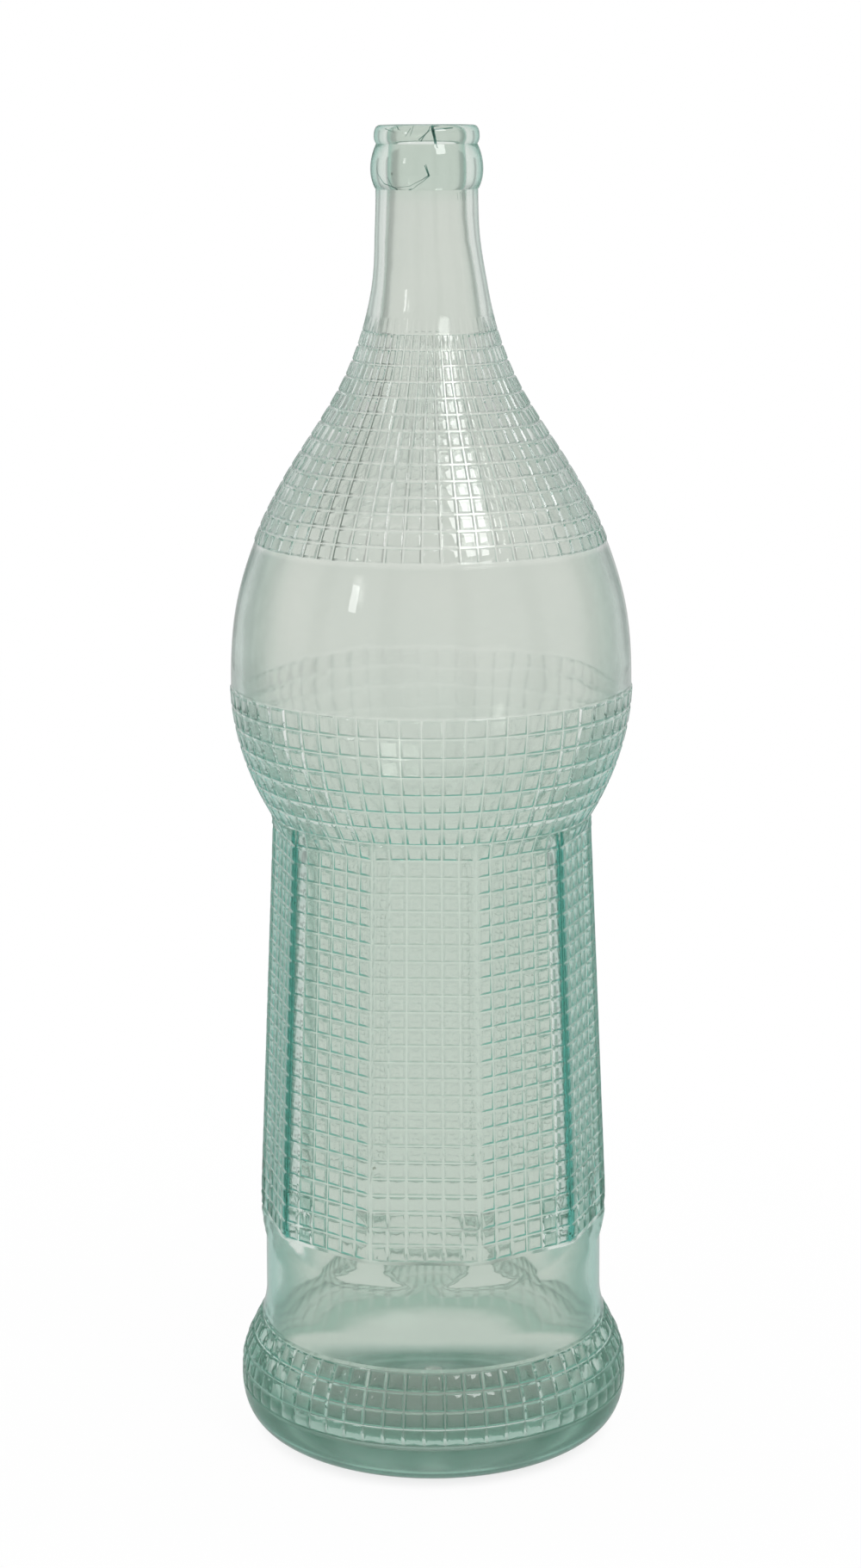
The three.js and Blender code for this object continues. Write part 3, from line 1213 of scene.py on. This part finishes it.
    def paint_foot_shade(self, skin: Skin) -> None:
        """Marks the foot for its painted dark green, painted shade with some of the thick glass's own
        green: fully round its widest line and less on the pads above.

        Args:
            skin: The outer skin.
        """
        foot_layer = skin.verts.layers.float["foot"]
        top = self.waffle_of(Zone.FOOT).high
        for vert in skin.verts:
            height = vert.co.z / MM
            share = smooth_share(height, *self.foot_start)
            share *= 1 - smooth_share(height, top, top + self.foot_fade)
            vert[foot_layer] = share * mix(1.0, self.pad_painted_shade, smooth_share(height, *self.foot_line))

    def settle_cavity(self, skin: Skin, verts: list[bmesh.types.BMVert]) -> None:
        """Settles the cavity into soft, wavy glass that shows the pads faintly, and marks it.

        Args:
            skin: The whole skin.
            verts: The cavity's own points.
        """
        s = self.sizes
        inside_layer = skin.verts.layers.float["inside"]
        soft = [vert for vert in verts if vert.co.z / MM < s.finish_base]
        for _ in range(self.settle_rounds):
            bmesh.ops.smooth_vert(
                skin, verts=soft, factor=self.settle_factor, use_axis_x=True, use_axis_y=True
            )
        for vert in verts:
            vert[inside_layer] = 1.0
            height = vert.co.z / MM
            if s.corners_full <= height <= s.column_top:
                self.round_corners(vert, s.corner_at(height) * s.flat_ratio - s.body_wall)
        for vert in soft:
            out = Vector((vert.co.x, vert.co.y, 0))
            if out.length < s.bore_radius * MM:
                continue
            wave = sum(noise.noise(vert.co / (length * MM)) * height for length, height in self.waves)
            vert.co += out.normalized() * (wave - self.imprint_at(vert.co)) * MM

    def round_corners(self, vert: bmesh.types.BMVert, apothem: float) -> None:
        """Moves a point of the round cavity onto its flat, or onto the rounding between two flats.

        Args:
            vert: The point.
            apothem: Distance from the axis to the middle of the flat.
        """
        s = self.sizes
        half = s.flat_angle / 2
        angle = self.angle_of(vert.co)
        aside = abs(angle - round(angle / (2 * half)) * 2 * half)
        flat_end = apothem - self.cavity_rounding
        if apothem * math.tan(aside) <= flat_end * math.tan(half):
            reach = apothem / math.cos(aside)
        else:
            centre = flat_end / math.cos(half)
            past = half - aside
            reach = centre * math.cos(past)
            reach += math.sqrt(self.cavity_rounding**2 - (centre * math.sin(past)) ** 2)
        height = vert.co.z / MM
        share = smooth_share(height, s.corners_full, s.corners_full + self.cavity_fade)
        share *= 1 - smooth_share(height, s.column_top - self.cavity_fade, s.column_top)
        self.swing(vert, angle, mix(math.hypot(vert.co.x, vert.co.y) / MM, reach, share))

    def imprint_at(self, place: Vector) -> float:
        """Gives how far the mould's grooves push the cavity's wall in at a place.

        Args:
            place: A point of the cavity.

        Returns:
            The depth in millimetres, below 0 behind a pad.
        """
        height = place.z / MM
        waffle = self.waffle_at(height)
        if waffle is None:
            return 0.0
        row = (height - waffle.low) / (waffle.high - waffle.low) * waffle.rows
        grid = math.cos(self.cells * self.angle_of(place)) + math.cos(FULL_TURN * row)
        return waffle.imprint * waffle.share_at(height) * grid

    def lean_finish(self, skin: Skin) -> None:
        """Sets the finish a little to one side of the neck.

        Args:
            skin: The whole skin.
        """
        for vert in skin.verts:
            vert.co.x += smooth_share(vert.co.z / MM, *self.lean_heights) * self.finish_lean * MM


@dataclass(frozen=True)
class Softbox:
    """One soft lamp: degrees round from the front and above the bottle's middle, metres and watts."""

    name: str
    azimuth: float
    elevation: float
    width: float
    height: float
    watts: float


@dataclass
class Studio:
    """A pale floor, a ring of white panels and two soft lamps, with sizes in metres."""

    floor_radius: float = 1.2
    floor_sides: int = 96
    floor_drop: float = 0.0002
    floor_colour: Colour = (0.9, 0.9, 0.9)
    worn_colour: Colour = (0.88, 0.88, 0.88)
    floor_scale: float = 6
    under_white: float = 0.4
    near_white: float = 0.97
    under_radius: float = 0.028
    near_radius: float = 0.047
    far_radius: float = 0.3
    panels: int = 8
    panel_light: float = 1.0
    gap_light: float = 0.6
    gap_ends: Pair = (-0.95, -0.45)
    ceiling_light: float = 0.7
    ceiling_ends: Pair = (0.2, 0.6)
    mirrored_light: float = 0.5
    room_light: float = 0.7
    lamp_distance: float = 1.15
    softboxes: tuple[Softbox, ...] = (
        Softbox("left_softbox", azimuth=-45, elevation=23, width=0.09, height=0.17, watts=0.25),
        Softbox("right_softbox", azimuth=36, elevation=48, width=0.36, height=0.5, watts=4),
    )

    def build(self, mottle: bpy.types.NodeTree) -> None:
        """Builds the floor, the surroundings and the lamps.

        Args:
            mottle: The soft mottle that the floor shares.
        """
        self.floor(mottle)
        self.world()
        for softbox in self.softboxes:
            self.hang(softbox)

    def floor(self, mottle: bpy.types.NodeTree) -> None:
        """Lays a round pale floor under the bottle.

        Args:
            mottle: The shared soft mottle.
        """
        disc = bmesh.new()
        bmesh.ops.create_circle(disc, cap_ends=True, segments=self.floor_sides, radius=self.floor_radius)
        bmesh.ops.translate(disc, verts=disc.verts, vec=(0, 0, -self.floor_drop))
        mesh = bpy.data.meshes.new("floor")
        disc.to_mesh(mesh)
        disc.free()
        floor = bpy.data.objects.new("floor", mesh)
        bpy.context.scene.collection.objects.link(floor)
        mesh.materials.append(self.floor_material(mottle))

    def floor_material(self, mottle: bpy.types.NodeTree) -> bpy.types.Material:
        """Builds the floor's paint, white where it is seen and matt where it only gives light.

        Args:
            mottle: The shared soft mottle.

        Returns:
            The material.
        """
        made = bpy.data.materials.new("pale_floor")
        made.use_nodes = True
        nodes = made.node_tree.nodes
        nodes.remove(nodes["Principled BSDF"])
        wiring = Wiring(made.node_tree)
        place = wiring.node("TexCoord").outputs["Object"]
        patches = wiring.group(mottle, Place=place, Scale=self.floor_scale)
        paint = wiring.blend(patches, self.floor_colour, self.worn_colour)
        matt = wiring.fill(wiring.node("BsdfDiffuse"), Color=paint).outputs["BSDF"]
        glow = wiring.fill(wiring.node("Emission"), Strength=self.mirror_share(wiring)).outputs["Emission"]
        white = self.whiteness(wiring, wiring.vector("LENGTH", place).outputs["Value"])
        share = wiring.math("MULTIPLY", self.seen_rays(wiring), white)
        both = wiring.node("MixShader", share, matt, glow)
        wiring.feed(nodes["Material Output"].inputs["Surface"], both.outputs["Shader"])
        return made

    def whiteness(self, wiring: Wiring, reach: Socket) -> Socket:
        """Gives how white the floor is seen, less under the bottle than round it.

        Args:
            wiring: The floor's nodes.
            reach: Distance from the bottle's axis.

        Returns:
            The share of white.
        """
        curve = wiring.fill(wiring.node("FloatCurve"), Value=reach)
        stops = curve.mapping.curves[0].points
        stops[0].location = (self.under_radius, self.under_white)
        stops[1].location = (self.far_radius, 1.0)
        stops.new(self.near_radius, self.near_white)
        for stop in stops:
            stop.handle_type = "VECTOR"
        curve.mapping.extend = "HORIZONTAL"
        curve.mapping.update()
        return curve.outputs["Value"]

    @staticmethod
    def seen_rays(wiring: Wiring) -> Socket:
        """Adds nodes that are 1 for what the camera sees, straight, mirrored or through glass.

        Args:
            wiring: The nodes that gain them.

        Returns:
            The value.
        """
        path = wiring.node("LightPath").outputs
        either = wiring.math("MAXIMUM", path["Is Camera Ray"], path["Is Glossy Ray"])
        return wiring.math("MAXIMUM", either, path["Is Transmission Ray"])

    def mirror_share(self, wiring: Wiring) -> Socket:
        """Adds nodes that dim what is seen as a mirror image, and nothing else.

        Args:
            wiring: The nodes that gain them.

        Returns:
            The share of light.
        """
        path = wiring.node("LightPath").outputs
        mirrored = wiring.math("SUBTRACT", path["Is Glossy Ray"], path["Is Transmission Ray"], clamp=True)
        return wiring.blend(mirrored, 1.0, self.mirrored_light, kind="FLOAT")

    def world(self) -> None:
        """Surrounds the bottle with white panels and darker gaps, plain white to the camera itself."""
        world = bpy.data.worlds.new("studio")
        bpy.context.scene.world = world
        world.use_nodes = True
        wiring = Wiring(world.node_tree)
        split = wiring.node("SeparateXYZ", wiring.node("TexCoord").outputs["Generated"]).outputs
        turn = wiring.math("ARCTAN2", split["X"], split["Y"])
        wave = wiring.math("COSINE", wiring.math("MULTIPLY", turn, self.panels))
        level = wiring.ease(wave, self.gap_ends, (self.gap_light, self.panel_light))
        ceiling = wiring.ease(split["Z"], self.ceiling_ends, (1.0, self.ceiling_light))
        shaded = wiring.math("MULTIPLY", level, ceiling)
        dimmed = wiring.math("MULTIPLY", shaded, self.mirror_share(wiring))
        around = wiring.blend(self.seen_rays(wiring), self.room_light, dimmed, kind="FLOAT")
        straight = wiring.node("LightPath").outputs["Is Camera Ray"]
        strength = wiring.blend(straight, around, 1.0, kind="FLOAT")
        wiring.fill(world.node_tree.nodes["Background"], Color=(1, 1, 1, 1), Strength=strength)

    def hang(self, softbox: Softbox) -> None:
        """Hangs a soft lamp that faces the bottle.

        Args:
            softbox: The lamp.
        """
        light = bpy.data.lights.new(softbox.name, "AREA")
        light.shape = "RECTANGLE"
        light.size, light.size_y = softbox.width, softbox.height
        light.energy = softbox.watts
        lamp = bpy.data.objects.new(softbox.name, light)
        bpy.context.scene.collection.objects.link(lamp)
        turn, rise = math.radians(softbox.azimuth), math.radians(softbox.elevation)
        away = Vector((math.sin(turn) * math.cos(rise), -math.cos(turn) * math.cos(rise), math.sin(rise)))
        target = Vector((0, 0, CAD_BOX[1].z / 2))
        facing = away.to_track_quat("Z", "Y").to_matrix().to_4x4()
        lamp.matrix_world = Matrix.Translation(target + away * self.lamp_distance) @ facing


@dataclass
class Camera:
    """The photograph's viewpoint, close by and a little above the lip."""

    lens: float = 74.54
    distance: float = 818.1
    height: float = 345.1
    azimuth: float = 2.7
    pitch: float = 7.0
    roll: float = -0.2
    shift_y: float = -0.1871

    def build(self) -> None:
        """Sets up the scene's camera."""
        data = bpy.data.cameras.new("camera")
        data.lens = self.lens
        data.shift_y = self.shift_y
        camera = bpy.data.objects.new("camera", data)
        bpy.context.scene.collection.objects.link(camera)
        turn = math.radians(self.azimuth)
        camera.location = (
            self.distance * math.sin(turn) * MM,
            -self.distance * math.cos(turn) * MM,
            self.height * MM,
        )
        aim = Euler((math.radians(90 - self.pitch), 0, turn)).to_matrix()
        camera.rotation_euler = (aim @ Matrix.Rotation(math.radians(self.roll), 3, "Z")).to_euler()
        bpy.context.scene.camera = camera


def let_light_through() -> None:
    """Lets light pass through as many walls of glass as a line of sight meets."""
    cycles = bpy.context.scene.cycles
    cycles.max_bounces = GLASS_BOUNCES
    cycles.transmission_bounces = GLASS_BOUNCES
    cycles.glossy_bounces = GLASS_BOUNCES


def main() -> None:
    """Builds the bottle, the studio and the camera, and reports each piece."""
    logging.basicConfig(level=logging.INFO, format="%(name)s: %(message)s")
    bpy.context.scene.view_settings.view_transform = "Standard"
    let_light_through()
    Camera().build()
    mottle = mottle_group()
    Studio().build(mottle)
    bottle = Bottle().build(mottle)
    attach(bottle, "root")
    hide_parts("glass_bottle")
    triangles = sum(len(face.vertices) - 2 for face in bottle.data.polygons)
    LOG.info("%s: %d triangles", bottle.name, triangles)


if __name__ == "__main__":
    main()
